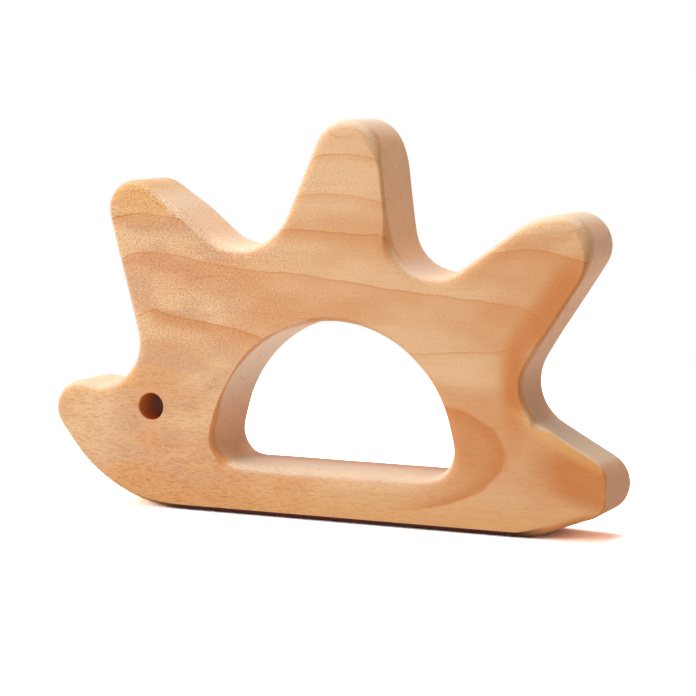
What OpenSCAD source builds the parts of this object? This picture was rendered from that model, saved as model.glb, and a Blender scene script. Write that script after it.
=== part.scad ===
// Wooden hedgehog figure: one flat board cut to a hedgehog's outline, with a
// D-shaped hole to hold it by, a drilled eye and all its edges rounded over.
// It stands upright on its flat belly, with the nose towards -X and its faces
// towards -Y and +Y. The origin is on the floor, under the middle of the figure.

/* [Body] */
// Overall length, nose to tail
body_l = 105; // [98:0.5:112]
// Overall height, floor to the middle spine's tip
body_h = 69.7; // [67:0.1:74]
// Thickness of the board
body_t = 15; // [10:0.5:20]
// Radius of the rounding along every edge
edge_r = 2.3; // [1:0.1:2.6]

/* [Head] */
// Radius of the nose
nose_r = 5.1; // [4:0.1:6]
// Height of the nose's centre
nose_h = 16.9; // [15:0.1:18]
// Radius of the hollow between the head and the front spine
nape_r = 7.7; // [6:0.1:9]
// Diameter of the eye, drilled through the board
eye_d = 4.8; // [3:0.1:6]
// Distance of the eye's centre behind the nose's tip
eye_back = 20; // [17:0.1:22]
// Height of the eye's centre
eye_h = 18.2; // [15:0.1:19]

/* [Spines] */
// Radius of the front spine's tip
front_tip_r = 5.3; // [4.5:0.1:6]
// Radius of the bend in the front spine's rear flank
front_flank_r = 5; // [3:0.1:8]
// How far that bend stands out from a straight flank
front_flank_bulge = 0.4; // [0.2:0.1:0.8]
// Radius of the middle spine's tip
middle_tip_r = 6.3; // [5.5:0.1:7]
// Radius of the bulge along the middle spine's rear flank
middle_flank_r = 17.5; // [15:0.1:20]
// Radius of the rear spine's tip
rear_tip_r = 5.6; // [5:0.1:6.5]
// Radius of the rear spine's shoulder, in front of its tip
rear_shoulder_r = 13; // [10:0.1:15]

/* [Hollows] */
// Radius of the valley between the front and middle spines
front_valley_r = 10.1; // [9:0.1:11]
// Radius of the valley between the middle and rear spines
rear_valley_r = 8.5; // [8:0.1:9.5]
// Radius of the hollow between the rear spine and the tail
rump_r = 8.1; // [7:0.1:10]

/* [Underside and tail] */
// Radius of the curve from the nose down to the flat belly
chin_r = 28; // [26:0.1:31]
// Radius of the curve from the flat belly up towards the tail
haunch_r = 18.3; // [15:0.1:21]
// Radius of the tail's tip
tail_r = 5.3; // [4.5:0.1:6]
// Height of the tail tip's centre
tail_h = 8.8; // [8:0.1:10]

/* [Grip hole] */
// Radius of the hole's dome
dome_r = 22.3; // [20:0.1:23]
// Height of the centre of the dome
dome_h = 12.6; // [11:0.1:14]
// Height of the hole's straight lower edge
hole_floor = 9.2; // [8:0.1:10.5]
// Radius of the hole's front corner
hole_front_r = 4.4; // [3:0.1:6]
// Radius of the hole's rear corner
hole_rear_r = 4.6; // [3:0.1:6]

/* [Hidden] */
$fn = 96;

// Places along the figure, as shares of the length behind the nose's tip,
// and heights, as shares of the overall height
front_tip_shares = [0.152, 0.7605];
middle_tip_share = 0.542;
rear_tip_shares = [0.91, 0.7045];
front_valley_shares = [0.347, 0.82];
rear_valley_shares = [0.7005, 0.747];
rump_shares = [0.9205, 0.369];
haunch_share = 0.84;
dome_share = 0.521;

// How far the centres of two blended curves stand apart, as a share of the
// least distance at which one can run into the other
blend_share = 1.015;
// Slope of the line from the middle of the flank's bulge to the middle spine's tip
flank_slope = 23.3;
// Slope of the line from the middle of the nose to the middle of the nape's hollow
nape_slope = 72.2;
// Place of the bend in the front spine's rear flank, as a share of the way from the valley to the tip
front_bend_share = 0.5;

// Widest angle between two points along a corner, and between two points of the rounding
corner_step = 6;
rounding_step = 15;

function place(shares) = [(shares[0] - 1 / 2) * body_l, shares[1] * body_h];
function corner(centre, r) = concat(centre, [r]);
function centre(c) = [c[0], c[1]];
// Outward normal of the straight edge that touches corners a and b
function edge_normal(a, b) =
    let (
        span = centre(b) - centre(a),
        along = span / norm(span),
        lean = (b[2] - a[2]) / norm(span)
    )
    sqrt(1 - lean * lean) * [along[1], -along[0]] - lean * along;
// Point at which an edge with that normal touches corner c
function touching_point(c, normal) = centre(c) + c[2] * normal;
// Distance between the centres of two curves of which the smaller blends into the larger
function blend_distance(r_large, r_small) = blend_share * (r_large - r_small);
// Sideways distance between two centres, from their true distance and their heights
function sideways(distance, height_a, height_b) = sqrt(distance ^ 2 - (height_a - height_b) ^ 2);

nose = [nose_r - body_l / 2, nose_h];
nape = nose + blend_share * (nose_r + nape_r) * [cos(nape_slope), sin(nape_slope)];
chin = [nose[0] + sideways(blend_distance(chin_r, nose_r), chin_r, nose_h), chin_r];
haunch = [(haunch_share - 1 / 2) * body_l, haunch_r];
tail = [body_l / 2 - tail_r, tail_h];
rear_tip = place(rear_tip_shares);
rear_shoulder = rear_tip - [0, blend_distance(rear_shoulder_r, rear_tip_r)];
middle_tip = [(middle_tip_share - 1 / 2) * body_l, body_h - middle_tip_r];
middle_flank = middle_tip
    - blend_distance(middle_flank_r, middle_tip_r) * [cos(flank_slope), sin(flank_slope)];

dome = [(dome_share - 1 / 2) * body_l, dome_h];
// Sideways distance from the dome's centre to that of a corner of radius r in the hole
function hole_corner_offset(r) = sideways(blend_distance(dome_r, r), dome_h, hole_floor + r);

// Each corner is [x, height, radius], with a negative radius in a hollow
chin_corner = corner(chin, chin_r);
front_valley_corner = corner(place(front_valley_shares), -front_valley_r);
front_tip_corner = corner(place(front_tip_shares), front_tip_r);
dome_corner = corner(dome, -dome_r);

// The front spine's rear flank bends halfway along the straight edge from the valley to the tip
front_normal = edge_normal(front_valley_corner, front_tip_corner);
front_flank = (1 - front_bend_share) * touching_point(front_valley_corner, front_normal)
    + front_bend_share * touching_point(front_tip_corner, front_normal)
    + (front_flank_bulge - front_flank_r) * front_normal;

// The outline runs anticlockwise, seen with the nose on the left
outline = [
    corner(nose, nose_r),
    chin_corner,
    corner(haunch, haunch_r),
    corner(tail, tail_r),
    corner(place(rump_shares), -rump_r),
    corner(rear_tip, rear_tip_r),
    corner(rear_shoulder, rear_shoulder_r),
    corner(place(rear_valley_shares), -rear_valley_r),
    corner(middle_flank, middle_flank_r),
    corner(middle_tip, middle_tip_r),
    front_valley_corner,
    corner(front_flank, front_flank_r),
    front_tip_corner,
    corner(nape, -nape_r)
];

// The hole runs clockwise, so its corners are all hollows of the wood around it
grip_hole = [
    corner([dome[0] - hole_corner_offset(hole_front_r), hole_floor + hole_front_r], -hole_front_r),
    dome_corner,
    corner([dome[0] + hole_corner_offset(hole_rear_r), hole_floor + hole_rear_r], -hole_rear_r)
];

function next(chain, i) = chain[(i + 1) % len(chain)];
function previous(chain, i) = chain[(i + len(chain) - 1) % len(chain)];

function heading(v) = atan2(v[1], v[0]);
function turn(from, to) = (heading(to) - heading(from) + 720) % 360;

// Points round one corner, at a given depth inside the outline
function corner_points(before, c, after, inset) =
    let (
        start = edge_normal(before, c),
        end = edge_normal(c, after),
        sweep = c[2] > 0 ? turn(start, end) : -turn(end, start),
        steps = ceil(abs(sweep) / corner_step)
    )
    [for (i = [0 : steps])
        let (angle = heading(start) + sweep * i / steps)
        centre(c) + (c[2] - inset) * [cos(angle), sin(angle)]];
function chain_points(chain, inset) =
    [for (i = [0 : len(chain) - 1])
        each corner_points(previous(chain, i), chain[i], next(chain, i), inset)];

// Rounding beside one face: each point is [depth inside the outline, distance from mid-board]
rounding = [for (a = [0 : rounding_step : 90])
    [edge_r * (1 - sin(a)), body_t / 2 - edge_r * (1 - cos(a))]];
// Section of the rim, from the edge of one face round to the edge of the other
rim_section = [
    each rounding,
    for (i = [len(rounding) - 1 : -1 : 0])
        [rounding[i][0], -rounding[i][1]]
];
ring_total = len(rim_section);

// Number of the points before corner i, on one ring of a chain
function points_before(chain, i) =
    i == 0 ? 0 : points_before(chain, i - 1)
        + len(corner_points(previous(chain, i - 1), chain[i - 1], next(chain, i - 1), edge_r));
outline_count = points_before(outline, len(outline));
hole_count = points_before(grip_hole, len(grip_hole));
hole_base = outline_count * ring_total;

// Points of a chain's rim, ring after ring
function rim_points(chain) =
    [for (s = rim_section) for (p = chain_points(chain, s[0])) [p[0], p[1], s[1]]];
// Faces between neighbouring rings of n points, which are numbered from base on
function rim_faces(base, n) =
    [for (j = [0 : ring_total - 2]) for (i = [0 : n - 1])
        let (ring = base + j * n, after = (i + 1) % n)
        [ring + i, ring + after, ring + n + after, ring + n + i]];

// Numbers of the points from one to another on a ring of n points, which may run on past its start
function stretch(ring, n, from, to) =
    [for (i = [from : to < from ? to + n : to]) ring + i % n];

// Each flat face is in two parts, in front of the hole and behind it. They meet between the
// belly and the hole's first corner, and between the front valley and the start of the dome.
function number_of(chain, c) = [for (i = [0 : len(chain) - 1]) if (chain[i] == c) i][0];
belly_cut = points_before(outline, number_of(outline, chin_corner) + 1) - 1;
valley_cut = points_before(outline, number_of(outline, front_valley_corner));
dome_cut = points_before(grip_hole, number_of(grip_hole, dome_corner));
function flat_faces(outline_ring, hole_ring) = [
    concat(
        stretch(outline_ring, outline_count, valley_cut, belly_cut),
        stretch(hole_ring, hole_count, 0, dome_cut)
    ),
    concat(
        stretch(outline_ring, outline_count, belly_cut, valley_cut),
        stretch(hole_ring, hole_count, dome_cut, hole_count)
    )
];
function reversed(list) = [for (i = [len(list) - 1 : -1 : 0]) list[i]];

// The board, lying flat and brought to its overall size
module board() {
    last_ring = ring_total - 1;
    resize([body_l, body_h, body_t])
        polyhedron(
            points = concat(rim_points(outline), rim_points(grip_hole)),
            faces = concat(
                rim_faces(0, outline_count),
                rim_faces(hole_base, hole_count),
                [for (f = flat_faces(0, hole_base)) reversed(f)],
                flat_faces(last_ring * outline_count, hole_base + last_ring * hole_count)
            )
        );
}

module eye_hole() {
    translate([eye_back - body_l / 2, eye_h, 0])
        cylinder(h = 2 * body_t, d = eye_d, center = true);
}

module hedgehog_body() {
    color("burlywood")
        rotate([90, 0, 0])
            difference() {
                board();
                eye_hole();
            }
}

hedgehog_body();
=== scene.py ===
import math
from types import SimpleNamespace

import bmesh
import bpy
import numpy as np
from bpy.props import FloatProperty, FloatVectorProperty, IntProperty, PointerProperty
from mathutils import Matrix, Vector


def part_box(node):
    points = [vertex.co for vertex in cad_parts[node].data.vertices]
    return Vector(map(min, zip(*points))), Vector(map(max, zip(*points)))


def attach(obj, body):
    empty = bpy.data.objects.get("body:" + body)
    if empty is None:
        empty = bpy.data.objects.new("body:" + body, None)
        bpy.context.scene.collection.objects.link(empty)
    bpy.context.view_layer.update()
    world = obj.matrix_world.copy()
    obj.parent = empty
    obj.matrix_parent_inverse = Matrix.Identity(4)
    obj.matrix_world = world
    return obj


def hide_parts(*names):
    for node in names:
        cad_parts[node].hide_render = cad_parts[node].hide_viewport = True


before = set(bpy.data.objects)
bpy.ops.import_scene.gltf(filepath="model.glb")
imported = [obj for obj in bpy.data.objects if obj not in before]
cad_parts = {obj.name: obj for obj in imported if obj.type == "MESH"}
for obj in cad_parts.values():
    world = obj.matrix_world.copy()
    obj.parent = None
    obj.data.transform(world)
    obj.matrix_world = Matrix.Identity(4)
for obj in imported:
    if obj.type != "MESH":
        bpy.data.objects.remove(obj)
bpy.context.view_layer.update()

bl_info = {
    "name": "Wooden Hedgehog Figure",
    "version": (1, 0, 0),
    "blender": (4, 5, 0),
    "location": "3D Viewport > Sidebar > Hedgehog",
    "description": "Builds a hand-sanded wooden hedgehog on its CAD frame, with its studio",
    "category": "Add Mesh",
}

MM = 0.001
DEG = math.pi / 180
BODY = "hedgehog_body"
LOW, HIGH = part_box(BODY)


def paint(red, green, blue):
    """Colour of a swatch, read on a screen from 0 to 255, as a shader's linear colour."""
    def linear(level):
        part = level / 255
        return part / 12.92 if part <= 0.04045 else ((part + 0.055) / 1.055) ** 2.4
    return (linear(red), linear(green), linear(blue))


def length(name, description, default, low=0.0):
    return FloatProperty(
        name=name, description=description, default=default, min=low, unit="LENGTH", precision=5
    )


def share(name, description, default):
    return FloatProperty(
        name=name, description=description, default=default, min=0, max=1, subtype="FACTOR"
    )


def angle(name, description, default):
    return FloatProperty(name=name, description=description, default=default, subtype="ANGLE")


def amount(name, description, default, low=0.0):
    return FloatProperty(name=name, description=description, default=default, min=low)


def colour(name, description, swatch):
    return FloatVectorProperty(
        name=name, description=description, default=paint(*swatch), min=0, max=1,
        size=3, subtype="COLOR",
    )


class BoardSettings(bpy.types.PropertyGroup):
    """Sizes of the sawn and sanded board"""

    thickness: length("Thickness", "Thickness of the board", HIGH.y - LOW.y)
    edge_rounding: length("Edge rounding", "Depth rounded along every edge", 2.3 * MM)
    crisp_share: share(
        "Crisp share", "Width over depth of the rounding on edges that face back or down", 0.45
    )
    eye_rounding: length("Eye rounding", "Radius worn on the eye's sharp rim", 0.28 * MM)
    outline_step: length("Outline step", "Spacing of points along the outline", 0.5 * MM, 0.1 * MM)
    rounding_steps: IntProperty(
        name="Rounding steps", description="Facets across each rounded edge", default=9, min=2
    )
    wall_steps: IntProperty(
        name="Wall steps", description="Facets across the straight sawn edge", default=10, min=1
    )
    sanding_depth: length("Sanding depth", "Most wood that hand sanding takes off", 0.1 * MM)
    sanding_reach: length("Sanding reach", "Length of one wave left by sanding", 9 * MM)
    eye_wear: length("Eye wear", "Depth of the nicks round the eye's rim", 0.2 * MM)
    sanding_seed: IntProperty(
        name="Sanding seed", description="Picks another hand-sanded surface", default=4
    )


class WoodSettings(bpy.types.PropertyGroup):
    """Colours and grain of the oiled wood, with the colours of its painted light and shade"""

    # This colour also paints highlights on the tips of the middle and rear spines.
    pale: colour("Pale wood", "Palest wood between the rings", (236, 190, 142))
    warm: colour("Warm wood", "Usual colour of the oiled wood", (224, 164, 112))
    rosy: colour("Rosy wood", "Pinkish flush on the head and front spine", (218, 166, 126))
    glow: colour("Ring shade", "Deeper colour that fades away below each ring", (218, 142, 84))
    # This colour is painted light: highlights along the upper edges and nose, and warm bounce
    # light towards the belly.
    painted_honey_light: colour("Honey", "Yellower wood on the nose and along the upper edges", (238, 178, 104))
    line: colour("Ring line", "Thin dark line of each ring", (206, 128, 60))
    # This colour is partly painted shade, on the patches along the rear spine's back edge, the
    # rump and the tail.
    flame: colour("Flame", "Dark heartwood behind the hole and on the tail", (208, 120, 48))
    # This colour also paints shade on the far half of the grip hole's floor and along the crease
    # beside the walls that face back.
    fleck_and_shade: colour("Fleck", "Fine pores and short fibres", (184, 108, 56))
    # This colour is a painted highlight on the edges that face up or towards the head.
    highlight_cream: colour("Cream", "Freshly sanded edges that face up", (245, 212, 180))
    # This colour is end grain and painted bounce light on the walls that face back.
    end_grain_and_bounce_light: colour("End grain", "Sawn walls that cut across the fibres", (255, 200, 152))
    # This colour is a painted highlight on the grip hole's lip, and makes the hole's back-facing
    # wall paler high up.
    pale_wall_and_lip_highlight: colour("Bleached", "Sawn wall high up in the grip hole", (255, 226, 194))
    # This colour is painted shade on the rounding beside the walls that face back, and painted
    # warm bounce light below the tail.
    painted_shading: colour("Burnish", "Polished rounding beside those walls", (230, 144, 80))
    # This colour is painted shade, on the rounding along the belly and deep in the eye's bore.
    underside: colour("Underside", "Darkened rounding along the belly", (80, 26, 6))
    bore: colour("Bore", "Drilled wall of the eye", (226, 140, 48))
    grain_size: length("Grain size", "Size of one light or dark spot of the fine grain", 0.25 * MM)
    fibre_length: length("Fibre length", "Length of one dark fibre", 1.1 * MM)
    fibre_pitch: length("Fibre pitch", "Distance between neighbouring fibres", 0.2 * MM)
    roughness: share("Roughness", "Roughness of the sanded surface", 0.55)
    sheen: share("Sheen", "Strength of the oiled surface's reflections", 0.3)


class StudioSettings(bpy.types.PropertyGroup):
    """Camera, lamps and floor"""

    azimuth: angle("Azimuth", "Camera's turn round the figure", 23.72 * DEG)
    elevation: angle("Elevation", "Camera's height above the horizon", 6.11 * DEG)
    roll: angle("Roll", "Camera's tilt", 0.6 * DEG)
    distance: length("Distance", "Camera's distance from its aim", 482.2 * MM)
    aim: FloatVectorProperty(
        name="Aim", description="Point that the camera looks at",
        default=(2.34 * MM, 0, 29.78 * MM), subtype="TRANSLATION", unit="LENGTH",
    )
    lens: amount("Lens", "Focal length in millimetres", 142.82, 1)
    floor_size: length("Floor size", "Side of the square floor", 6.0)
    key_power: amount("Key light", "Power of the softbox overhead, in watts", 7.55)
    fill_power: amount("Fill light", "Power of the softbox in front, in watts", 3.1)
    surround: amount("Surround", "Strength of the pale room's light", 0.18)


def add(tree, kind, inputs=None, **settings):
    """Adds a node. Its inputs, by name or number, take a value or a link from an output."""
    made = tree.nodes.new(kind)
    for name, value in settings.items():
        setattr(made, name, value)
    for key, value in (inputs or {}).items():
        if isinstance(value, bpy.types.NodeSocket):
            tree.links.new(value, made.inputs[key])
        else:
            made.inputs[key].default_value = value
    return made


def calc(tree, operation, *values):
    """Result of one Math node."""
    return add(tree, "ShaderNodeMath", dict(enumerate(values)), operation=operation).outputs[0]


def plus(tree, first, second):
    return calc(tree, "ADD", first, second)


def minus(tree, first, second):
    return calc(tree, "SUBTRACT", first, second)


def times(tree, first, *others):
    """Product of all the values."""
    for other in others:
        first = calc(tree, "MULTIPLY", first, other)
    return first


def ramp(tree, value, start, end, kind="SMOOTHSTEP"):
    """0 at start, 1 at end and smooth between them."""
    inputs = {"Value": value, "From Min": start, "From Max": end}
    return add(tree, "ShaderNodeMapRange", inputs, interpolation_type=kind).outputs[0]


def vector(tree, x=0.0, y=0.0, z=0.0):
    return add(tree, "ShaderNodeCombineXYZ", {"X": x, "Y": y, "Z": z}).outputs[0]


def vector_calc(tree, operation, *vectors):
    """Result of one Vector Math node: a number if it is a length or a distance."""
    made = add(tree, "ShaderNodeVectorMath", dict(enumerate(vectors)), operation=operation)
    return made.outputs["Value" if operation in ("LENGTH", "DISTANCE") else "Vector"]


def scaled(tree, direction, factor):
    """Vector times a number."""
    inputs = {0: direction, "Scale": factor}
    return add(tree, "ShaderNodeVectorMath", inputs, operation="SCALE").outputs["Vector"]


def new_group(name, kind, inputs, outputs):
    """Empty node group. Each input is a name with its socket kind and default."""
    tree = bpy.data.node_groups.new(name, kind)
    for label, (socket, default) in inputs.items():
        made = tree.interface.new_socket(label, in_out="INPUT", socket_type=socket)
        if default is not None:
            made.default_value = default
    for label, socket in outputs.items():
        tree.interface.new_socket(label, in_out="OUTPUT", socket_type=socket)
    return tree, tree.nodes.new("NodeGroupInput").outputs, tree.nodes.new("NodeGroupOutput").inputs


FLOAT, INT, GEOMETRY = "NodeSocketFloat", "NodeSocketInt", "NodeSocketGeometry"
VECTOR, MATERIAL = "NodeSocketVector", "NodeSocketMaterial"


# The board.

# Attribute that is 0 on the sawn walls and rises to 1 across each rounded edge
ROUNDED = "rounded"

# Stretches of the outline that were shaped by hand: centre in mm, as distance behind the middle
# and height, how far the full change and the last of it reach, how much deeper the rounding is
# at the front and at the back, how far the sawn wall flares out towards the front, and how much
# softer the rounding meets the face, as a share to add to its width.
HAND_SHAPED = (
    ((43.5, 39.5), (5.0, 12.5), -1.3, 0.9, 1.2, 0.2),
    ((49.0, 53.0), (2.0, 7.0), 0.3, 0.5, 0.6, 0.3),
    ((37.0, 25.0), (4.0, 10.3), -0.8, 0.0, 1.3, 0.0),
    ((47.0, 16.0), (4.5, 8.6), -1.4, 0.3, 1.1, 0.2),
    ((52.3, 8.0), (2.0, 6.0), -1.0, 0.0, 0.5, -0.1),
    ((48.0, 2.5), (4.0, 12.0), -0.9, -0.5, 0.0, 0.5),
    ((8.5, 68.3), (1.5, 6.5), 0.5, 1.2, 0.3, 0.3),
    ((12.5, 58.0), (4.0, 9.0), -1.2, 0.4, 0.0, 0.0),
    ((16.5, 48.0), (1.5, 5.0), 0.0, 0.4, 0.0, 0.5),
    ((-18.5, 19.0), (3.0, 12.0), -0.8, 0.0, 0.0, 0.0),
    ((-12.0, 29.0), (7.0, 15.0), -1.1, 0.0, 0.0, 0.0),
    ((-9.0, 9.5), (2.5, 8.5), 1.0, 0.0, 0.0, 0.0),
    ((2.0, 9.5), (2.5, 8.5), 1.0, 0.0, 0.0, 0.0),
    ((13.0, 9.5), (2.5, 8.5), 1.0, 0.0, 0.0, 0.0),
)


# Depth below the faces at which sanding is full, and heights where it begins and is full
FACE_FADE, BELLY_FADE = 1 * MM, (0.1 * MM, 2 * MM)

# Distances from the eye's centre at which its nicks end and are full, and the size of one nick
NICKS_END, NICKS_FULL, NICK_SIZE = 4 * MM, 3 * MM, 0.8 * MM


def kept(tree, geometry, **fields):
    """Geometry that carries the values that fields have on it now, and those values."""
    capture = add(tree, "GeometryNodeCaptureAttribute", {"Geometry": geometry})
    for name, (kind, field) in fields.items():
        capture.capture_items.new(kind, name)
        tree.links.new(field, capture.inputs[name])
    return capture.outputs["Geometry"], [capture.outputs[name] for name in fields]


def between(tree, first, second, share_along):
    """First value at 0, second at 1."""
    step = minus(tree, second, first)
    return calc(tree, "MULTIPLY_ADD", step, share_along, first)


def rounded_rim_tree():
    """Sweeps the section of a rounded edge along the sawn loops. Where Width share is 1 the
    rounding is a full quarter turn. Below 1 it reaches less far into the face than into the
    wall, and meets the face in a crisp edge. Flare leans the wall out towards the front."""
    tree, given, result = new_group(
        "rounded_rim", "GeometryNodeTree",
        {
            "Loops": (GEOMETRY, None),
            "Thickness": (FLOAT, 15 * MM),
            "Front depth": (FLOAT, 2.3 * MM),
            "Back depth": (FLOAT, 2.3 * MM),
            "Width share": (FLOAT, 1.0),
            "Flare": (FLOAT, 0.0),
            "Rounding steps": (INT, 8),
            "Wall steps": (INT, 8),
        },
        {"Rim": GEOMETRY},
    )
    steps, wall = given["Rounding steps"], given["Wall steps"]
    both = plus(tree, times(tree, steps, 2.0), wall)
    section = add(
        tree, "GeometryNodeResampleCurve",
        {
            "Curve": add(tree, "GeometryNodeCurvePrimitiveLine").outputs[0],
            "Count": plus(tree, both, 1.0),
        },
        mode="COUNT",
    )
    number = add(tree, "GeometryNodeInputIndex").outputs[0]
    past = minus(tree, number, steps)
    first = calc(tree, "MINIMUM", number, steps)
    climb = calc(tree, "MINIMUM", calc(tree, "MAXIMUM", past, 0.0), wall)
    last = calc(tree, "MAXIMUM", minus(tree, past, wall), 0.0)
    turned = calc(tree, "DIVIDE", plus(tree, first, last), steps)
    profile, (turn, climbed) = kept(
        tree, section.outputs[0],
        turn=("FLOAT", minus(tree, turned, 1.0)),
        climbed=("FLOAT", calc(tree, "DIVIDE", climb, wall)),
    )
    rail, (place, normal, front, back, width, flare) = kept(
        tree, given["Loops"],
        place=("VECTOR", add(tree, "GeometryNodeInputPosition").outputs[0]),
        normal=("VECTOR", add(tree, "GeometryNodeInputNormal").outputs[0]),
        front=("FLOAT", given["Front depth"]),
        back=("FLOAT", given["Back depth"]),
        width=("FLOAT", given["Width share"]),
        flare=("FLOAT", given["Flare"]),
    )
    swept = add(tree, "GeometryNodeCurveToMesh", {"Curve": rail, "Profile Curve": profile})
    half = calc(tree, "DIVIDE", given["Thickness"], 2.0)
    sweep = times(tree, calc(tree, "ARCTANGENT", width), 2.0)
    depth = between(tree, front, back, climbed)
    radius = calc(tree, "DIVIDE", depth, calc(tree, "SINE", sweep))
    swing = times(tree, turn, sweep)
    wall_start = minus(tree, front, half)
    wall_end = minus(tree, half, back)
    across = calc(
        tree, "MULTIPLY_ADD", calc(tree, "SINE", swing), radius,
        between(tree, wall_start, wall_end, climbed),
    )
    inset = times(tree, minus(tree, calc(tree, "COSINE", swing), 1.0), radius)
    to_front = calc(tree, "DIVIDE", minus(tree, half, across), given["Thickness"])
    outward = calc(tree, "MULTIPLY_ADD", flare, to_front, inset)
    moved = vector_calc(tree, "ADD", place, scaled(tree, normal, outward))
    raised = vector_calc(tree, "SUBTRACT", moved, vector(tree, z=across))
    shaped = add(
        tree, "GeometryNodeSetPosition", {"Geometry": swept.outputs[0], "Position": raised}
    )
    rim = marked(tree, shaped.outputs[0], calc(tree, "ABSOLUTE", turn))
    tree.links.new(rim, result["Rim"])
    return tree


def marked(tree, geometry, value):
    """Geometry whose points carry the attribute that says how rounded the wood is."""
    return add(
        tree, "GeometryNodeStoreNamedAttribute",
        {"Geometry": geometry, "Name": ROUNDED, "Value": value},
        data_type="FLOAT", domain="POINT",
    ).outputs[0]


def pushed(tree, geometry, distance):
    """Geometry moved along its normals, out of the wood."""
    step = scaled(tree, add(tree, "GeometryNodeInputNormal").outputs[0], distance)
    moved = add(tree, "GeometryNodeSetPosition", {"Geometry": geometry, "Offset": step})
    return moved.outputs[0]


def edge_shape(tree, rounding, crisp_share):
    """Depth of the rounding along the loops at the front and the back, its width as a share of
    that depth, and the wall's flare. The share is 1 on edges that face up, and less on crisper
    ones that face the tail or the ground."""
    normal = add(tree, "GeometryNodeInputNormal").outputs[0]
    facing = add(tree, "ShaderNodeSeparateXYZ", {0: normal}).outputs
    lift = minus(tree, facing["Y"], facing["X"])
    width = between(tree, crisp_share, 1.0, ramp(tree, lift, 0.0, 0.55))
    place = add(tree, "GeometryNodeInputPosition").outputs[0]
    front, back, flare = rounding, rounding, 0.0
    for centre, reach, front_extra, back_extra, lean, softer in HAND_SHAPED:
        away = vector_calc(tree, "DISTANCE", place, (centre[0] * MM, centre[1] * MM, 0))
        shaped = ramp(tree, away, reach[1] * MM, reach[0] * MM)
        front = calc(tree, "MULTIPLY_ADD", shaped, front_extra * MM, front)
        back = calc(tree, "MULTIPLY_ADD", shaped, back_extra * MM, back)
        flare = calc(tree, "MULTIPLY_ADD", shaped, lean * MM, flare)
        width = calc(tree, "MULTIPLY_ADD", shaped, softer, width)
    return front, back, calc(tree, "MINIMUM", width, 1.0), flare


def flat_face(tree, loops, height):
    """Flat face within the loops, lying at a height."""
    face = add(tree, "GeometryNodeFillCurve", {0: loops}, mode="TRIANGLES")
    flat = add(tree, "GeometryNodeSetShadeSmooth", {0: face.outputs[0], "Shade Smooth": False})
    level = {"Geometry": flat.outputs[0], "Translation": vector(tree, z=height)}
    placed = add(tree, "GeometryNodeTransform", level)
    return marked(tree, placed.outputs[0], 1.0)


def board_tree():
    """Rounded board between flat faces, from its sawn loops: outline, grip hole and eye."""
    tree, given, result = new_group(
        "hand_sanded_board", "GeometryNodeTree",
        {
            "Loops": (GEOMETRY, None),
            "Thickness": (FLOAT, 15 * MM),
            "Edge rounding": (FLOAT, 2.3 * MM),
            "Crisp share": (FLOAT, 0.5),
            "Eye rounding": (FLOAT, 0.3 * MM),
            "Rounding steps": (INT, 8),
            "Wall steps": (INT, 8),
            "Sanding depth": (FLOAT, 0.1 * MM),
            "Sanding reach": (FLOAT, 9 * MM),
            "Eye centre": (VECTOR, (0, 0, 0)),
            "Eye wear": (FLOAT, 0.1 * MM),
            "Sanding seed": (INT, 0),
            "Wood": (MATERIAL, None),
        },
        {"Board": GEOMETRY},
    )
    level = add(tree, "GeometryNodeSetCurveNormal", {"Curve": given["Loops"]}, mode="Z_UP")
    place = add(tree, "GeometryNodeInputIndex").outputs[0]
    eye_only = add(
        tree, "GeometryNodeSeparateGeometry",
        {"Geometry": level.outputs[0], "Selection": calc(tree, "GREATER_THAN", place, 1.5)},
        domain="CURVE",
    )
    eye, sawn = eye_only.outputs["Selection"], eye_only.outputs["Inverted"]
    rim_tree = rounded_rim_tree()
    rims = []
    front_loops = add(tree, "GeometryNodeJoinGeometry")
    back_loops = add(tree, "GeometryNodeJoinGeometry")
    edge = edge_shape(tree, given["Edge rounding"], given["Crisp share"])
    eye_edge = (given["Eye rounding"], given["Eye rounding"], 1.0, 0.0)
    for loops, (front, back, width, flare) in ((sawn, edge), (eye, eye_edge)):
        rim = add(
            tree, "GeometryNodeGroup",
            {
                "Loops": loops,
                "Thickness": given["Thickness"],
                "Front depth": front,
                "Back depth": back,
                "Width share": width,
                "Flare": flare,
                "Rounding steps": given["Rounding steps"],
                "Wall steps": given["Wall steps"],
            },
            node_tree=rim_tree,
        )
        rims.append(add(tree, "GeometryNodeSetShadeSmooth", {0: rim.outputs[0]}).outputs[0])
        out_front = minus(tree, flare, times(tree, front, width))
        out_back = times(tree, back, width, -1.0)
        tree.links.new(pushed(tree, loops, out_front), front_loops.inputs[0])
        tree.links.new(pushed(tree, loops, out_back), back_loops.inputs[0])
    half = calc(tree, "DIVIDE", given["Thickness"], 2.0)
    front_face = flat_face(tree, front_loops.outputs[0], half)
    back_face = flat_face(tree, back_loops.outputs[0], times(tree, half, -1.0))
    turned_back = add(tree, "GeometryNodeFlipFaces", {0: back_face}).outputs[0]
    parts = add(tree, "GeometryNodeJoinGeometry")
    for piece in (*rims, front_face, turned_back):
        tree.links.new(piece, parts.inputs[0])
    closed = add(
        tree, "GeometryNodeMergeByDistance", {0: parts.outputs[0], "Distance": 0.004 * MM}
    )
    upright = add(
        tree, "GeometryNodeTransform",
        {"Geometry": closed.outputs[0], "Rotation": (math.pi / 2, 0, 0)},
    )
    single = add(
        tree, "GeometryNodeRealizeInstances", {0: sanded(tree, given, upright.outputs[0])}
    )
    finished = add(
        tree, "GeometryNodeSetMaterial", {"Geometry": single.outputs[0], "Material": given["Wood"]}
    )
    tree.links.new(finished.outputs[0], result["Board"])
    return tree


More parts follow.
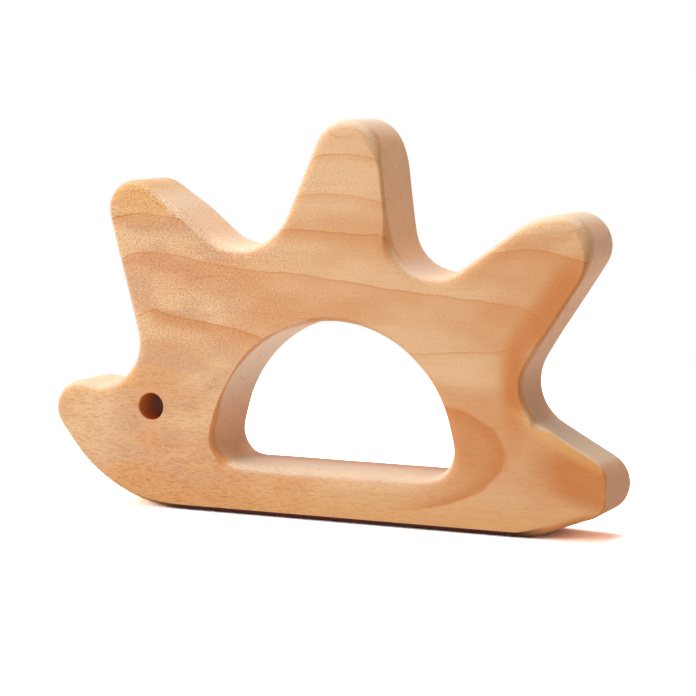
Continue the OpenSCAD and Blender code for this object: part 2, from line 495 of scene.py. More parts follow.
def sanded(tree, given, board):
    """Takes a little wood off the rounded edges and walls, and nicks the eye's rim. The flat
    faces and the belly keep their plane."""
    place = add(tree, "GeometryNodeInputPosition").outputs[0]
    spot = add(tree, "ShaderNodeSeparateXYZ", {0: place}).outputs
    half = calc(tree, "DIVIDE", given["Thickness"], 2.0)
    below_face = minus(tree, half, calc(tree, "ABSOLUTE", spot["Y"]))
    off_face = ramp(tree, below_face, 0.0, FACE_FADE)
    off_belly = ramp(tree, spot["Z"], *BELLY_FADE)
    scale = calc(tree, "DIVIDE", 1.0, given["Sanding reach"])
    waves, nicks = (
        add(
            tree, "ShaderNodeTexNoise",
            {"Vector": place, "W": given["Sanding seed"], "Scale": size, "Detail": detail},
            noise_dimensions="4D",
        ).outputs[0]
        for size, detail in ((scale, 1.5), (1 / NICK_SIZE, 2.0))
    )
    away = vector_calc(tree, "SUBTRACT", place, given["Eye centre"])
    reach = vector_calc(tree, "LENGTH", vector_calc(tree, "MULTIPLY", away, (1, 0, 1)))
    at_eye = ramp(tree, reach, NICKS_END, NICKS_FULL)
    wave_depth = times(tree, waves, given["Sanding depth"])
    nick_depth = times(tree, nicks, at_eye, given["Eye wear"])
    taken = plus(tree, wave_depth, nick_depth)
    return pushed(tree, board, times(tree, taken, off_face, off_belly, -1.0))


def sawn_loops(node):
    """Closed loops in which the middle of the board cuts the CAD solid, longest first."""
    solid = bmesh.new()
    solid.from_mesh(node.data)
    bmesh.ops.remove_doubles(solid, verts=solid.verts, dist=0.001 * MM)
    bmesh.ops.bisect_plane(
        solid, geom=[*solid.verts, *solid.edges, *solid.faces], plane_co=(0, 0, 0),
        plane_no=(0, 1, 0), clear_inner=True, clear_outer=True,
    )
    bmesh.ops.remove_doubles(solid, verts=solid.verts, dist=0.001 * MM)
    left = set(solid.verts)
    loops = []
    while left:
        at = min(left, key=lambda v: (v.co.x, v.co.z))
        loop = []
        while at is not None:
            left.discard(at)
            loop.append((at.co.x, at.co.z))
            beside = [edge.other_vert(at) for edge in at.link_edges]
            at = next((v for v in beside if v in left), None)
        loops.append(np.array(loop))
    solid.free()
    return sorted(loops, key=around, reverse=True)


def around(loop):
    """Distance round a closed loop."""
    return np.linalg.norm(np.roll(loop, -1, 0) - loop, axis=1).sum()


def evened(loop, step):
    """Closed loop with its points evenly spaced and its small corners smoothed out."""
    closed = np.vstack([loop, loop[:1]])
    run = np.concatenate([[0], np.cumsum(np.linalg.norm(np.diff(closed, axis=0), axis=1))])
    stops = np.linspace(0, run[-1], max(48, round(run[-1] / step)), endpoint=False)
    even = np.stack([np.interp(stops, run, closed[:, i]) for i in range(2)], axis=1)
    smooth = softened(even)
    return smooth + (smooth - softened(smooth))


def softened(loop, passes=6):
    """Each pass moves a point half-way to the middle of its two neighbours."""
    for _ in range(passes):
        loop = loop / 2 + (np.roll(loop, 1, 0) + np.roll(loop, -1, 0)) / 4
    return loop


def signed_area(loop):
    ahead = np.roll(loop, -1, 0)
    return (loop[:, 0] * ahead[:, 1] - loop[:, 1] * ahead[:, 0]).sum() / 2


def make_board(board, wood):
    """The figure as one mesh: the CAD outline swept and filled by the board's node tree."""
    loops = [evened(loop, board.outline_step) for loop in sawn_loops(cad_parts[BODY])]
    eye = loops[2].mean(0)
    eye_radius = around(loops[2]) / (2 * math.pi)
    oiled = wood_material(wood, (eye[0] / MM, eye[1] / MM, eye_radius / MM))
    lines = bpy.data.curves.new("sawn_loops", "CURVE")
    lines.dimensions = "3D"
    for number, loop in enumerate(loops):
        outer = number == 0
        if (signed_area(loop) > 0) != outer:
            loop = loop[::-1]
        spline = lines.splines.new("POLY")
        spline.points.add(len(loop) - 1)
        spline.points.foreach_set("co", [c for x, z in loop for c in (x, z, 0, 1)])
        spline.use_cyclic_u = True
    holder = bpy.data.objects.new("sawn_loops", lines)
    bpy.context.scene.collection.objects.link(holder)
    tree = board_tree()
    modifier = holder.modifiers.new("board", "NODES")
    modifier.node_group = tree
    found = {"Eye centre": (float(eye[0]), 0.0, float(eye[1])), "Wood": oiled}
    for item in tree.interface.items_tree:
        setting = item.name.lower().replace(" ", "_")
        if item.name in found:
            modifier[item.identifier] = found[item.name]
        elif hasattr(board, setting):
            modifier[item.identifier] = getattr(board, setting)
    graph = bpy.context.evaluated_depsgraph_get()
    mesh = bpy.data.meshes.new_from_object(holder.evaluated_get(graph))
    bpy.data.objects.remove(holder)
    bpy.data.curves.remove(lines)
    mesh.name = "hedgehog"
    points = np.zeros(len(mesh.vertices) * 3)
    mesh.vertices.foreach_get("co", points)
    points = np.clip(points.reshape(-1, 3), LOW, HIGH)
    mesh.vertices.foreach_set("co", points.ravel())
    mesh.update()
    figure = bpy.data.objects.new("hedgehog", mesh)
    bpy.context.scene.collection.objects.link(figure)
    return figure


def check_closed(piece):
    """Raises an error if the mesh has an open edge or an inside-out shell."""
    shell = bmesh.new()
    shell.from_mesh(piece.data)
    open_edges = [edge for edge in shell.edges if len(edge.link_faces) != 2]
    volume = shell.calc_volume(signed=True)
    shell.free()
    if open_edges or volume <= 0:
        raise RuntimeError(f"{piece.name}: {len(open_edges)} open edges, volume {volume}")


# The wood.

# Growth rings that meet the board's faces. Each has its path along the face in mm, as distance
# behind the middle and height, how far it dips at mid-board, the strength of its dark line, and
# the strength and reach of the deeper shade below it.
RINGS = {
    "front_spine_ring": {
        "path": (
            (-41, 50.6), (-38.5, 51), (-34.5, 51.7), (-31, 51.5), (-28.5, 51.1), (-26, 50.5),
            (-22, 49.2), (-17, 46.9), (-12, 44),
        ),
        "ends": (-45, -21), "dip": 1.0, "line": 0.8, "shade": 0.55, "reach": 2.4,
    },
    "long_ring": {
        "path": (
            (-42, 41), (-38, 43.6), (-36.5, 44.3), (-34, 44.8), (-30, 44.7), (-22, 43.5),
            (-15, 42.7), (-5, 42.3), (5, 41.3), (14, 40.3), (25, 39.4), (35, 38.6),
            (37.5, 38.2), (39, 37.4), (40.5, 36.3), (42.5, 34),
        ),
        "ends": (-45, 46), "dip": 0.6, "line": 0.42, "shade": 0.5, "reach": 7.0,
    },
    "nape_ring": {
        "path": (
            (-36, 33.2), (-34.5, 33.8), (-32, 34.7), (-30, 34.2), (-25, 33.3), (-20, 32.6),
            (-17, 32.2), (-12, 31.2), (-6, 30),
        ),
        "ends": (-32.4, 0), "dip": 0.4, "line": 0.6, "shade": 0.7, "reach": 5.0,
    },
    "nape_ring_start": {
        "path": ((-36, 33.2), (-34.5, 33.8), (-33, 34.4), (-30, 35)),
        "ends": (-38, -31.8), "dip": 0.4, "line": 0.4, "shade": 0.1, "reach": 2.0,
    },
    "short_ring": {
        "path": ((-25.5, 39.9), (-23.5, 40.6), (-20, 41.2), (-17, 41.4)),
        "ends": (-25, -18.5), "dip": 0.4, "line": 0.45, "shade": 0.2, "reach": 2.0,
    },
    "smile_ring": {
        "path": ((0.2, 68.4), (1.2, 67.2), (2.5, 66.2), (4, 65.9), (6, 66.3), (8, 67.3)),
        "ends": (-1, 8), "dip": -1.5, "line": 0.35, "shade": 0.2, "reach": 1.0,
    },
    "upper_middle_ring": {
        "path": ((-3, 62.2), (0, 62.8), (3, 63), (8, 62.8), (10, 62.5), (14, 61.6)),
        "ends": (-6, 20), "dip": 5.0, "line": 0.5, "shade": 0.4, "reach": 2.2,
    },
    "middle_ring": {
        "path": ((-6, 55.6), (-1, 56.2), (1, 56.3), (7, 55.8), (12, 55), (16, 54)),
        "ends": (-8, 22), "dip": 5.0, "line": 0.2, "shade": 0.45, "reach": 2.6,
    },
    "lower_middle_ring": {
        "path": (
            (-9, 49.8), (-3, 49.9), (3, 49.7), (8, 49.2), (11, 49.5), (12.5, 49), (15, 47.4),
            (18, 44.5),
        ),
        "ends": (-12, 18), "dip": 2.0, "line": 0.55, "shade": 0.6, "reach": 3.0,
    },
    "rear_tip_ring": {
        "path": ((32, 50.1), (38, 50.3), (43, 50.9), (46, 51.6), (52, 54)),
        "ends": (28, 56), "dip": 0.8, "line": 0.25, "shade": 0.4, "reach": 2.0,
    },
    "rear_spine_ring": {
        "path": ((28, 46.8), (35, 47.7), (39, 47.9), (42, 47.7), (45, 47.1), (49, 46), (54, 44)),
        "ends": (27, 56), "dip": 1.2, "line": 0.35, "shade": 0.75, "reach": 4.0,
    },
    "rump_ring": {
        "path": ((14, 29.4), (20, 29.7), (26, 30.2), (33, 30.8), (36.5, 31.8), (40, 32.4)),
        "ends": (12, 44), "dip": 0.5, "line": 0.4, "shade": 0.25, "reach": 1.6,
    },
}

# Soft-edged patches of another colour: its name, then centre and half-lengths in mm, turn in
# degrees, softness of the edge and strength.
PATCHES = (
    ("glow", (33, 14), (12, 9), 10, 0.5, 0.25),
    # The flame patches on the tail, along the rear spine's back edge and on the rump are dark
    # heartwood, partly painted shade where the face turns away from the light.
    ("flame", (49.5, 9.8), (8.5, 4.8), -20, 0.45, 0.85),
    ("flame", (42.5, 8.5), (4.5, 5), 0, 0.6, 0.3),
    ("flame", (44.2, 40.6), (7.5, 3.2), 57, 0.6, 0.75),
    ("flame", (38.4, 33.5), (4.5, 2.6), 60, 0.7, 0.6),
    ("flame", (36.2, 25), (2.2, 7), 0, 0.7, 0.8),
    # Painted highlights: the honey patches on the tops of the nose, the front spine and the tail,
    # and the pale ones on the tips of the rear and middle spines.
    ("painted_honey_light", (-45, 21.5), (8, 3), 8, 0.6, 0.7),
    ("painted_honey_light", (-34, 55), (7, 3.6), 0, 0.6, 0.6),
    ("line", (-35, 50.2), (6, 1.3), -4, 0.7, 0.35),
    ("line", (-27.5, 33.2), (7, 1.2), -12, 0.7, 0.35),
    ("glow", (-22, 40.5), (12, 3), -8, 0.8, 0.35),
    ("glow", (13.2, 47.2), (2.6, 1.8), -35, 0.6, 0.6),
    ("painted_honey_light", (45.5, 15.6), (9.5, 1.5), -27, 0.6, 0.55),
    ("pale", (41, 52.8), (10, 2.6), 8, 0.5, 0.9),
    ("pale", (4.5, 67.8), (4.5, 1.8), 0, 0.4, 0.8),
    ("pale", (-45, 14), (6, 7), 0, 0.6, 0.7),
)

# Oval of dark heartwood behind the hole: centre and half-lengths in mm, and turn in degrees
FLAME_OVAL, FLAME_TURN = ((16.7, 11.5), (18.3, 9.1)), 8.2

# Multipliers of the wood's colour in the darkest and the palest grain
DARK_GRAIN, PALE_GRAIN = (0.68, 0.4, 0.05, 1), (1.32, 1.6, 1.95, 1)

# Height in mm above the floor of the zero from which rings, patches and heights are measured
CHART_BASE = 0.8

# Box in mm that the rings' curves are drawn in
CHART_HALF, CHART_HIGH = 60.0, 80.0

# Half-widths in mm over which a ring fades in at its start and out at its end
RING_START, RING_END = 0.6, 2.5

# Heights in mm over a ring where its dark line begins, is full and has faded away again
LINE_TOP, LINE_FULL, LINE_FOOT = 0.16, -0.05, -0.32

# Parts of the figure that have a look of their own. Each row is an axis, then the place in mm
# where the look is absent and the one where it is full, measured behind the figure's middle (X),
# towards the back face (Y) or above the chart's base (Z).
PARTS = {
    "head": (("X", -8, -22),),
    "front half": (("X", 12, -28),),
    "rear half": (("X", 12, 26),),
    "tips of tail and rear spine": (("X", 40, 48),),
    "tip of front spine": (("X", -30, -34), ("Z", 50, 56)),
    "lower half": (("Z", 32, 20),),
    "belly": (("Z", 9, 0),),
    "front of belly": (("Z", 12, 6), ("X", 28, 14)),
    "underside": (("Z", 3, 1.2), ("X", 44, 36), ("X", -36, -27)),
    "underside of tail": (("X", 34, 42), ("Z", 13, 9)),
    "low walls": (("Z", 52, 32),),
    "high walls": (("Z", 14, 25),),
    "grip hole": (("X", -22.8, -20.8), ("X", 27.2, 25.2), ("Z", 38, 34), ("Z", 5, 7)),
    "front of hole": (("Y", 0, -4),),
    "back of hole": (("Y", -1, 5),),
}


def growth_ring_tree():
    """Dark line of one growth ring, sharp above, and the deeper shade that fades below it."""
    tree, given, result = new_group(
        "growth_ring", "ShaderNodeTree",
        {
            "Above": (FLOAT, 0),
            "Along": (FLOAT, 0),
            "Start": (FLOAT, -60),
            "End": (FLOAT, 60),
            "Reach": (FLOAT, 3),
            "Line strength": (FLOAT, 1),
            "Shade strength": (FLOAT, 1),
        },
        {"Line": FLOAT, "Shade": FLOAT},
    )
    above, along, start, end = (given[label] for label in ("Above", "Along", "Start", "End"))
    begun = ramp(tree, along, minus(tree, start, RING_START), plus(tree, start, RING_START))
    lasting = ramp(tree, along, plus(tree, end, RING_END), minus(tree, end, RING_END))
    shown = times(tree, begun, lasting, ramp(tree, above, LINE_TOP, LINE_FULL))
    line = times(tree, ramp(tree, above, LINE_FOOT, LINE_FULL), given["Line strength"])
    fading = ramp(tree, above, times(tree, given["Reach"], -1.0), 0.0, "LINEAR")
    shade = times(tree, calc(tree, "POWER", fading, 1.6), given["Shade strength"])
    tree.links.new(times(tree, line, shown), result["Line"])
    tree.links.new(times(tree, shade, shown), result["Shade"])
    return tree


def ring_height(tree, along_chart, path):
    """Height in mm of a ring at each place along the board."""
    drawn = add(tree, "ShaderNodeFloatCurve", {"Value": along_chart})
    curve = drawn.mapping.curves[0]
    spots = [((x + CHART_HALF) / (2 * CHART_HALF), z / CHART_HIGH) for x, z in path]
    curve.points[0].location = spots[0]
    curve.points[1].location = spots[-1]
    for spot in spots[1:-1]:
        curve.points.new(*spot)
    drawn.mapping.extend = "EXTRAPOLATED"
    drawn.mapping.update()
    return times(tree, drawn.outputs[0], CHART_HIGH)


def oval_reach(tree, place, centre, size, turn):
    """Distance from the middle of an oval that runs through the board: 1 on its edge."""
    oval = add(
        tree, "ShaderNodeMapping",
        {
            "Vector": place,
            "Location": (centre[0], 0, centre[1]),
            "Rotation": (0, -turn * DEG, 0),
            "Scale": (size[0], 1000, size[1]),
        },
        vector_type="TEXTURE",
    )
    return vector_calc(tree, "LENGTH", oval.outputs[0])


def noise(tree, place, sizes, detail=2.0, roughness=0.5):
    """Noise from 0 to 1, whose spots have these sizes in mm along x, y and z."""
    spots = add(
        tree, "ShaderNodeMapping", {"Vector": place, "Scale": [1 / size for size in sizes]}
    )
    return add(
        tree, "ShaderNodeTexNoise",
        {"Vector": spots.outputs[0], "Scale": 1.0, "Detail": detail, "Roughness": roughness},
    ).outputs[0]


def tint(tree, base, swatch, *shares, blend="MIX"):
    """Base colour, turned to another by the product of the shares, which go from 0 to 1."""
    mixed = add(
        tree, "ShaderNodeMix", {0: times(tree, *shares), 6: base},
        data_type="RGBA", blend_type=blend,
    )
    if isinstance(swatch, bpy.types.NodeSocket):
        tree.links.new(swatch, mixed.inputs[7])
    else:
        mixed.inputs[7].default_value = (*swatch, 1)
    return mixed.outputs[2]


def within(tree, at, part):
    """1 in one part of the figure, 0 outside it and smooth between."""
    return times(tree, *(ramp(tree, at.spot[axis], *ends) for axis, *ends in PARTS[part]))


def surface(tree):
    """What the wood's colour follows: the place in mm on the chart, the way that the surface
    faces, how sideways it faces, how far it is from mid-board, how rounded it is, and whether
    it is in the grip hole."""
    coords = add(tree, "ShaderNodeTexCoord").outputs
    place = add(
        tree, "ShaderNodeMapping",
        {"Vector": coords["Object"], "Scale": [1 / MM] * 3, "Location": (0, 0, -CHART_BASE)},
    ).outputs[0]
    spot = add(tree, "ShaderNodeSeparateXYZ", {0: place}).outputs
    facing = add(tree, "ShaderNodeSeparateXYZ", {0: coords["Normal"]}).outputs
    at = SimpleNamespace(place=place, spot=spot, facing=facing)
    at.sidelong = calc(tree, "ABSOLUTE", facing["Y"])
    at.depth = calc(tree, "ABSOLUTE", spot["Y"])
    at.rounded = add(tree, "ShaderNodeAttribute", attribute_name=ROUNDED).outputs["Fac"]
    at.in_hole = within(tree, at, "grip hole")
    return at


def wood_material(wood, eye):
    """Oiled hardwood: growth rings, heartwood, pale sawn walls, grain and fibres, with painted
    highlights, bounce light and shade on the edges, walls and belly and in the holes.
    """
    material = bpy.data.materials.new("oiled_wood")
    material.use_nodes = True
    tree = material.node_tree
    at = surface(tree)
    clouds = noise(tree, at.place, (26, 14, 12))
    drift = noise(tree, at.place, (9, 9, 4))
    streaks = noise(tree, at.place, (12, 0.7, 0.6), 3.0, 0.6)
    base = add(tree, "ShaderNodeRGB").outputs[0]
    base.default_value = (*wood.warm, 1)
    base = tint(tree, base, wood.pale, ramp(tree, clouds, 0.4, 0.62))
    head = within(tree, at, "head")
    base = tint(tree, base, wood.rosy, ramp(tree, drift, 0.42, 0.62), head, 0.8)
    # Painted warm bounce light from the floor: more orange towards the belly.
    belly = within(tree, at, "belly")
    base = tint(tree, base, wood.painted_honey_light, belly, 0.5)
    base = tint(tree, base, wood.glow, belly, 0.25)
    line, shade = ring_marks(tree, at)
    base = tint(tree, base, wood.glow, shade)
    base = heartwood(tree, wood, base, at)
    base = tint(tree, base, wood.glow, ramp(tree, streaks, 0.5, 0.8), 0.3)
    base = tint(tree, base, wood.line, line)
    base = highlighted_edges(tree, wood, base, at)
    base = sawn_walls(tree, wood, base, at)
    base = underside(tree, wood, base, at)
    base, fibres = grain(tree, wood, base, at)
    base = bored(tree, wood, base, at, eye)

    shader = tree.nodes["Principled BSDF"]
    tree.links.new(base, shader.inputs["Base Color"])
    shader.inputs["Roughness"].default_value = wood.roughness
    shader.inputs["Specular IOR Level"].default_value = wood.sheen
    height = calc(tree, "MULTIPLY_ADD", streaks, 0.6, fibres)
    bump = add(tree, "ShaderNodeBump", {"Height": height, "Strength": 0.5, "Distance": 0.03 * MM})
    tree.links.new(bump.outputs[0], shader.inputs["Normal"])
    return material


def heartwood(tree, wood, base, at):
    """Soft patches, and the crisp dark oval behind the hole with its darker rim."""
    for name, centre, size, turn, edge, strength in PATCHES:
        reach = oval_reach(tree, at.place, centre, size, turn)
        inside = ramp(tree, reach, 1 + edge, 1 - edge)
        base = tint(tree, base, getattr(wood, name), inside, strength)
    centre, size = FLAME_OVAL
    waver = calc(tree, "MULTIPLY_ADD", noise(tree, at.place, (9, 9, 5)), 0.12, -0.06)
    reach = plus(tree, oval_reach(tree, at.place, centre, size, FLAME_TURN), waver)
    inside = times(tree, ramp(tree, reach, 1.02, 0.97), within(tree, at, "rear half"))
    base = tint(tree, base, wood.flame, inside, 0.36)
    return tint(tree, base, wood.flame, inside, ramp(tree, reach, 0.75, 0.97), 0.5)


def grain(tree, wood, base, at):
    """Fine light and dark grain, combed out into fibres on the head and along the belly, and
    strongest towards the nose."""
    size, pitch = wood.grain_size / MM, wood.fibre_pitch / MM
    spots = noise(tree, at.place, (1.5 * size, size, 0.8 * size), 1.0)
    fibres = noise(tree, at.place, (wood.fibre_length / MM, pitch, pitch), 2.0, 0.6)
    strength = calc(tree, "MULTIPLY_ADD", within(tree, at, "front half"), 0.55, 0.3)
    on_belly = within(tree, at, "front of belly")
    strength = calc(tree, "MULTIPLY_ADD", on_belly, 0.2, strength)
    strength = times(tree, strength, ramp(tree, at.rounded, -1.0, 0.6, "LINEAR"))
    mixed = between(
        tree, ramp(tree, spots, 0.2, 0.8, "LINEAR"), ramp(tree, fibres, 0.22, 0.78, "LINEAR"),
        times(tree, within(tree, at, "lower half"), 0.7),
    )
    level = calc(tree, "MULTIPLY_ADD", minus(tree, mixed, 0.5), strength, 0.5)
    tone = add(tree, "ShaderNodeMix", {0: level}, data_type="RGBA")
    tone.inputs[6].default_value = DARK_GRAIN
    tone.inputs[7].default_value = PALE_GRAIN
    base = tint(tree, base, tone.outputs[2], 1.0, blend="MULTIPLY")
    return tint(tree, base, wood.fleck_and_shade, ramp(tree, fibres, 0.54, 0.74), strength, 0.35), fibres


def ring_marks(tree, at):
    """Sum of the dark lines and of the shades of all growth rings."""
    waver = minus(tree, noise(tree, at.place, (7, 5, 30)), 0.5)
    level = calc(tree, "MULTIPLY_ADD", waver, 0.9, at.spot["Z"])
    wear = ramp(tree, noise(tree, at.place, (5, 5, 5)), 0.3, 0.6)
    along_chart = ramp(tree, at.spot["X"], -CHART_HALF, CHART_HALF, "LINEAR")
    inward = ramp(tree, at.depth, HIGH.y / MM, 0.0, "LINEAR")
    ring_tree = growth_ring_tree()
    lines, shades = 0.0, 0.0
    for ring in RINGS.values():
        dip = times(tree, inward, ring["dip"])
        height = minus(tree, ring_height(tree, along_chart, ring["path"]), dip)
        above = minus(tree, level, height)
        marks = add(
            tree, "ShaderNodeGroup",
            {
                "Above": above,
                "Along": at.spot["X"],
                "Start": ring["ends"][0],
                "End": ring["ends"][1],
                "Reach": ring["reach"],
                "Line strength": ring["line"],
                "Shade strength": ring["shade"],
            },
            node_tree=ring_tree,
        )
        lines = plus(tree, marks.outputs["Line"], lines)
        shades = plus(tree, marks.outputs["Shade"], shades)
    lines = times(tree, lines, calc(tree, "MULTIPLY_ADD", wear, 0.6, 0.4))
    return calc(tree, "MINIMUM", lines, 1.0), calc(tree, "MINIMUM", shades, 1.0)


def highlighted_edges(tree, wood, base, at):
    """Painted highlight in cream on the edges that face up or, outside the grip hole, forward. The
    hole's lip gets a paler painted highlight and the far half of its floor painted shade."""
    forward = times(tree, at.facing["X"], minus(tree, at.in_hole, 1.0))
    lift = calc(tree, "MAXIMUM", at.facing["Z"], forward)
    lift = calc(tree, "MULTIPLY_ADD", at.in_hole, 0.15, lift)
    at_tip = within(tree, at, "tip of front spine")
    # Painted highlight: cream on the edges that face up or forward, less on the front spine's tip.
    painted_highlight = times(
        tree, ramp(tree, lift, 0.15, 0.75), ramp(tree, at.sidelong, 0.97, 0.6),
        calc(tree, "MULTIPLY_ADD", at_tip, -0.7, 1.0),
    )
    base = tint(tree, base, wood.highlight_cream, painted_highlight, 0.85)
    in_hole = times(tree, painted_highlight, at.in_hole)
    # Painted highlight, paler still, on the grip hole's lip.
    lip = times(tree, within(tree, at, "front of hole"), ramp(tree, at.sidelong, 0.93, 0.7))
    base = tint(tree, base, wood.pale_wall_and_lip_highlight, in_hole, lip, 0.7)
    # Painted shade on the far half of the grip hole's floor, in the fleck colour.
    return tint(tree, base, wood.fleck_and_shade, in_hole, within(tree, at, "back of hole"), 0.7)


def sawn_walls(tree, wood, base, at):
    """Pale end grain on the walls that face back, lightened as painted bounce light, marked by
    thin lines of the board's layers, with painted shade on the rounding beside it and along its
    crease."""
    flat = minus(tree, 1.001, calc(tree, "POWER", at.sidelong, 2.0))
    backward = calc(tree, "DIVIDE", at.facing["X"], calc(tree, "SQRT", flat))
    backward = calc(tree, "MULTIPLY_ADD", at.in_hole, 0.3, backward)
    turned = between(tree, 0.65, 0.99, at.in_hole)
    wall_only = ramp(tree, at.sidelong, turned, between(tree, 0.2, 0.9, at.in_hole))
    aft = times(tree, ramp(tree, backward, 0.5, 0.85), wall_only)
    # End grain lightened as painted bounce light on the walls that face back.
    base = tint(tree, base, wood.end_grain_and_bounce_light, aft, 0.92)
    # Paler high up on the grip hole's wall that faces back.
    base = tint(tree, base, wood.pale_wall_and_lip_highlight, aft, within(tree, at, "high walls"), at.in_hole)
    shaded = calc(tree, "MULTIPLY_ADD", at.in_hole, -0.48, 0.5)
    base = tint(tree, base, wood.glow, aft, within(tree, at, "low walls"), shaded)
    level = calc(tree, "MULTIPLY_ADD", at.depth, -0.67, at.spot["Z"])
    layers = calc(tree, "MULTIPLY_ADD", noise(tree, at.place, (12, 9, 7)), 6.0, level)
    thin = ramp(tree, calc(tree, "PINGPONG", layers, 2.1), 0.22, 0.0)
    base = tint(tree, base, wood.fleck_and_shade, aft, ramp(tree, at.rounded, 0.2, 0.0), thin, 0.22)
    at_tips = within(tree, at, "tips of tail and rear spine")
    # Painted shade in dark orange on the rounding beside the walls that face back, less at the
    # tips.
    base = tint(
        tree, base, wood.painted_shading, aft, ramp(tree, at.rounded, 0.02, 0.35),
        calc(tree, "MULTIPLY_ADD", at_tips, -0.5, 1.0), 0.7,
    )
    # Painted shade: a thin dark line along the crease where the rounding meets a wall that faces
    # back.
    from_edge = calc(tree, "ABSOLUTE", minus(tree, at.rounded, 0.06))
    return tint(
        tree, base, wood.fleck_and_shade, ramp(tree, from_edge, 0.1, 0.0),
        ramp(tree, at.facing["X"], 0.75, 0.98), calc(tree, "MULTIPLY_ADD", at.in_hole, 0.3, 0.1),
    )


def underside(tree, wood, base, at):
    """Warm orange on the rounding below the tail as painted bounce light, and painted shade on the
    dark rounding along the belly.
    """
    # Painted warm bounce light: orange on the rounding that faces down below the tail.
    below = ramp(tree, at.facing["Z"], -0.1, -0.5)
    base = tint(tree, base, wood.painted_shading, below, within(tree, at, "underside of tail"), 0.7)
    # Painted shade: the rounding that faces down along the belly turns dark.
    below = ramp(tree, at.facing["Z"], -0.1, -0.4)
    return tint(tree, base, wood.underside, below, within(tree, at, "underside"))


def bored(tree, wood, base, at, eye):
    """Orange wall of the drilled eye, with painted shade that darkens it deeper in, darkest at
    mid-board. The eye is given as the place and height of its centre and its radius, in mm."""
    across = minus(tree, at.spot["X"], eye[0])
    up = minus(tree, at.spot["Z"], eye[1] - CHART_BASE)
    reach = vector_calc(tree, "LENGTH", vector(tree, across, 0.0, up))
    half = HIGH.y / MM
    inside = times(
        tree, ramp(tree, reach, eye[2] + 0.9, eye[2] + 0.7),
        ramp(tree, at.depth, half - 0.05, half - 0.4),
    )
    base = tint(tree, base, wood.bore, inside)
    # Painted shade: the bore darkens deeper in.
    return tint(tree, base, wood.underside, inside, ramp(tree, at.depth, half - 1.0, -1.5), 0.6)


# The studio.

# Sides of the two softboxes, their places and the point that they face, in metres
KEY_SIDE, KEY_PLACE = 0.9, (-0.22, 0.08, 0.76)
FILL_SIDE, FILL_PLACE = 0.5, (-0.4, -0.65, 0.3)
LAMP_AIM = (0, 0, 0.03)

# Brightness of the floor to the camera, with the shadow left a little pink, and the distances
# in metres from the figure between which it turns plain white
SHOWN_FLOOR = (3.4, 3.1, 3.0, 1)
FLOOR_FADE = (0.12, 0.25)


def make_camera(studio):
    """Camera at the photographed angle."""
    camera = bpy.data.cameras.new("camera")
    camera.lens = studio.lens
    camera.sensor_width = 36
    camera.clip_start, camera.clip_end = 0.01, 20
    turn, rise = studio.azimuth, studio.elevation
    back = Vector((
        math.sin(turn) * math.cos(rise), -math.cos(turn) * math.cos(rise), math.sin(rise)
    ))
    right = Vector((math.cos(turn), math.sin(turn), 0))
    up = back.cross(right)
    rolled = math.cos(studio.roll) * right + math.sin(studio.roll) * up
    upward = back.cross(rolled)
    stand = bpy.data.objects.new("camera", camera)
    stand.matrix_world = Matrix.Translation(Vector(studio.aim) + studio.distance * back) @ Matrix(
        (rolled, upward, back)
    ).transposed().to_4x4()
    bpy.context.scene.collection.objects.link(stand)
    bpy.context.scene.camera = stand


def softbox(name, power, side, place):
    """Square lamp that faces the figure."""
    lamp = bpy.data.lights.new(name, "AREA")
    lamp.shape = "RECTANGLE"
    lamp.size = lamp.size_y = side
    lamp.energy = power
    holder = bpy.data.objects.new(name, lamp)
    holder.location = place
    to_figure = Vector(LAMP_AIM) - Vector(place)
    holder.rotation_euler = to_figure.to_track_quat("-Z", "Y").to_euler()
    bpy.context.scene.collection.objects.link(holder)


def white_to_camera(tree, plain, mirrored, shown):
    """Shows one surface to the camera, one in reflections and a plain one to all other light."""
    path = add(tree, "ShaderNodeLightPath").outputs
    reflected = calc(tree, "MAXIMUM", path["Is Glossy Ray"], path["Is Transmission Ray"])
    unseen = add(tree, "ShaderNodeMixShader", {0: reflected, 1: plain, 2: mirrored})
    mixed = {0: path["Is Camera Ray"], 1: unseen.outputs[0], 2: shown}
    return add(tree, "ShaderNodeMixShader", mixed).outputs[0]


def floor_material():
    """Pale floor, bright enough to the camera to be white outside the figure's shadow."""
    material = bpy.data.materials.new("pale_floor")
    material.use_nodes = True
    tree = material.node_tree
    tree.nodes.remove(tree.nodes["Principled BSDF"])
    plain = add(tree, "ShaderNodeBsdfDiffuse", {"Color": (0.75, 0.75, 0.75, 1)})
    mirrored = add(tree, "ShaderNodeBsdfDiffuse", {"Color": (1, 1, 1, 1)})
    shown = add(tree, "ShaderNodeBsdfDiffuse", {"Color": SHOWN_FLOOR})
    far = add(tree, "ShaderNodeEmission", {"Color": (1, 1, 1, 1), "Strength": 1.0})
    place = add(tree, "ShaderNodeTexCoord").outputs["Object"]
    away = ramp(tree, vector_calc(tree, "LENGTH", place), *FLOOR_FADE)
    faded = add(tree, "ShaderNodeMixShader", {0: away, 1: shown.outputs[0], 2: far.outputs[0]})
    mixed = white_to_camera(tree, plain.outputs[0], mirrored.outputs[0], faded.outputs[0])
    tree.links.new(mixed, tree.nodes["Material Output"].inputs["Surface"])
    return material


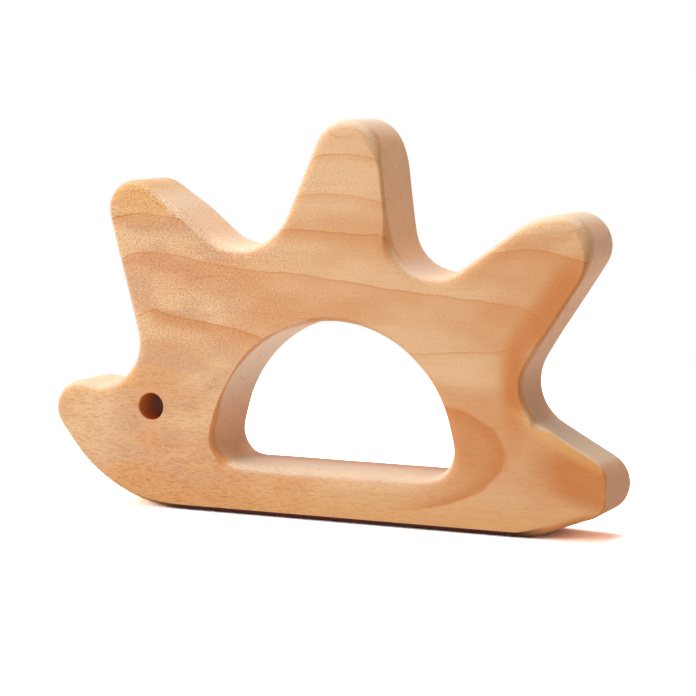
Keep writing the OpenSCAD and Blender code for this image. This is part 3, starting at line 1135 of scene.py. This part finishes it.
def make_studio(studio):
    """Floor, two softboxes and the light of a pale room."""
    half = studio.floor_size / 2
    mesh = bpy.data.meshes.new("floor")
    corners = [(-half, -half, 0), (half, -half, 0), (half, half, 0), (-half, half, 0)]
    mesh.from_pydata(corners, [], [(0, 1, 2, 3)])
    mesh.materials.append(floor_material())
    floor = bpy.data.objects.new("floor", mesh)
    bpy.context.scene.collection.objects.link(floor)
    softbox("overhead_softbox", studio.key_power, KEY_SIDE, KEY_PLACE)
    softbox("front_softbox", studio.fill_power, FILL_SIDE, FILL_PLACE)
    world = bpy.data.worlds.new("pale_room")
    bpy.context.scene.world = world
    world.use_nodes = True
    tree = world.node_tree
    room = tree.nodes["Background"]
    room.inputs["Color"].default_value = (1, 1, 1, 1)
    room.inputs["Strength"].default_value = studio.surround
    white = add(tree, "ShaderNodeBackground", {"Color": (1, 1, 1, 1), "Strength": 1.0})
    mixed = white_to_camera(tree, room.outputs[0], white.outputs[0], white.outputs[0])
    tree.links.new(mixed, tree.nodes["World Output"].inputs["Surface"])
    bpy.context.scene.view_settings.view_transform = "Standard"


class HEDGEHOG_OT_make_figure(bpy.types.Operator):
    """Saw, round and finish the wooden figure"""

    bl_idname = "hedgehog.make_figure"
    bl_label = "Make Figure"

    def execute(self, context):
        scene = context.scene
        figure = make_board(scene.hedgehog_board, scene.hedgehog_wood)
        check_closed(figure)
        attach(figure, "root")
        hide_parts(BODY)
        return {"FINISHED"}


class HEDGEHOG_OT_make_studio(bpy.types.Operator):
    """Lay the pale floor, hang the lamps and set the camera"""

    bl_idname = "hedgehog.make_studio"
    bl_label = "Make Studio"

    def execute(self, context):
        make_camera(context.scene.hedgehog_studio)
        make_studio(context.scene.hedgehog_studio)
        return {"FINISHED"}


class HEDGEHOG_PT_panel(bpy.types.Panel):
    """Sizes, colours and lamps of the wooden hedgehog"""

    bl_label = "Wooden Hedgehog"
    bl_space_type = "VIEW_3D"
    bl_region_type = "UI"
    bl_category = "Hedgehog"

    def draw(self, context):
        scene = context.scene
        for title, settings in (
            ("Board", scene.hedgehog_board),
            ("Wood", scene.hedgehog_wood),
            ("Studio", scene.hedgehog_studio),
        ):
            box = self.layout.box()
            box.label(text=title)
            for name in settings.__annotations__:
                box.prop(settings, name)
        self.layout.operator("hedgehog.make_figure")
        self.layout.operator("hedgehog.make_studio")


CLASSES = (
    BoardSettings,
    WoodSettings,
    StudioSettings,
    HEDGEHOG_OT_make_figure,
    HEDGEHOG_OT_make_studio,
    HEDGEHOG_PT_panel,
)


def register():
    for made in CLASSES:
        bpy.utils.register_class(made)
    bpy.types.Scene.hedgehog_board = PointerProperty(type=BoardSettings)
    bpy.types.Scene.hedgehog_wood = PointerProperty(type=WoodSettings)
    bpy.types.Scene.hedgehog_studio = PointerProperty(type=StudioSettings)


def unregister():
    del bpy.types.Scene.hedgehog_studio
    del bpy.types.Scene.hedgehog_wood
    del bpy.types.Scene.hedgehog_board
    for made in reversed(CLASSES):
        bpy.utils.unregister_class(made)


def main():
    register()
    bpy.ops.hedgehog.make_figure()
    bpy.ops.hedgehog.make_studio()


if __name__ == "__main__":
    main()
